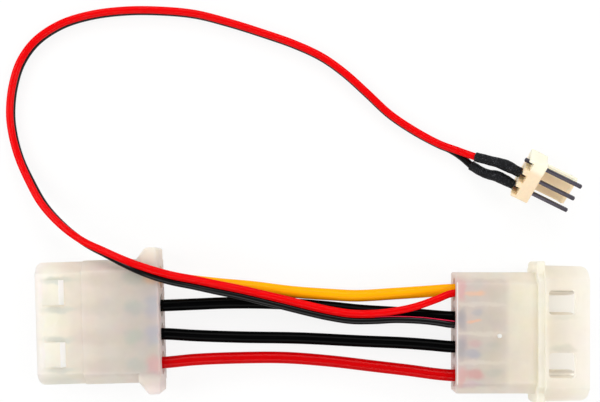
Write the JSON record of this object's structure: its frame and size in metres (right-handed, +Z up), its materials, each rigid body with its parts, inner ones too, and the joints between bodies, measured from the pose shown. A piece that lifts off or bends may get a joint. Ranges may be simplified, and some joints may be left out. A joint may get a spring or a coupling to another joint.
{
  "type": "fan adapter cable",
  "caption": "Pass-through power lead with a socket housing and a shrouded pin housing, and a thin two-wire branch that ends in a small fan header.",
  "frame": {"origin": "centre of the two housings' bounding box, on the surface the cable lies on", "axes": "+X from the socket housing to the pin housing, +Y towards the loop of thin leads, +Z up to the latch side of the housings"},
  "size_m": [0.1031, 0.0712, 0.0109],
  "materials": {
    "natural_nylon": "milky moulded nylon, satin",
    "tinned_brass": "tin-plated rolled sheet",
    "yellow_pvc": "extruded insulation, semi-gloss",
    "black_pvc": "extruded insulation, semi-gloss",
    "red_pvc": "extruded insulation, semi-gloss",
    "heat_shrink": "shrunk tube, dull",
    "ivory_nylon": "moulded, satin",
    "tinned_post": null
  },
  "bodies": {
    "root": {"socket_housing": "natural_nylon", "pin_housing": "natural_nylon", "socket_terminal_12v": "tinned_brass", "pin_terminal_12v": "tinned_brass", "wire_12v_yellow": "yellow_pvc", "socket_terminal_ground_a": "tinned_brass", "pin_terminal_ground_a": "tinned_brass", "wire_ground_a_black": "black_pvc", "socket_terminal_ground_b": "tinned_brass", "pin_terminal_ground_b": "tinned_brass", "wire_ground_b_black": "black_pvc", "socket_terminal_5v": "tinned_brass", "pin_terminal_5v": "tinned_brass", "wire_5v_red": "red_pvc", "header_body": "ivory_nylon", "header_pin_sense": "tinned_post", "header_pin_supply": "tinned_post", "header_pin_ground": "tinned_post", "fan_lead_red": "red_pvc", "fan_lead_black": "black_pvc", "sleeve_red_lead": "heat_shrink", "sleeve_black_lead": "heat_shrink"}
  },
  "joints": []
}
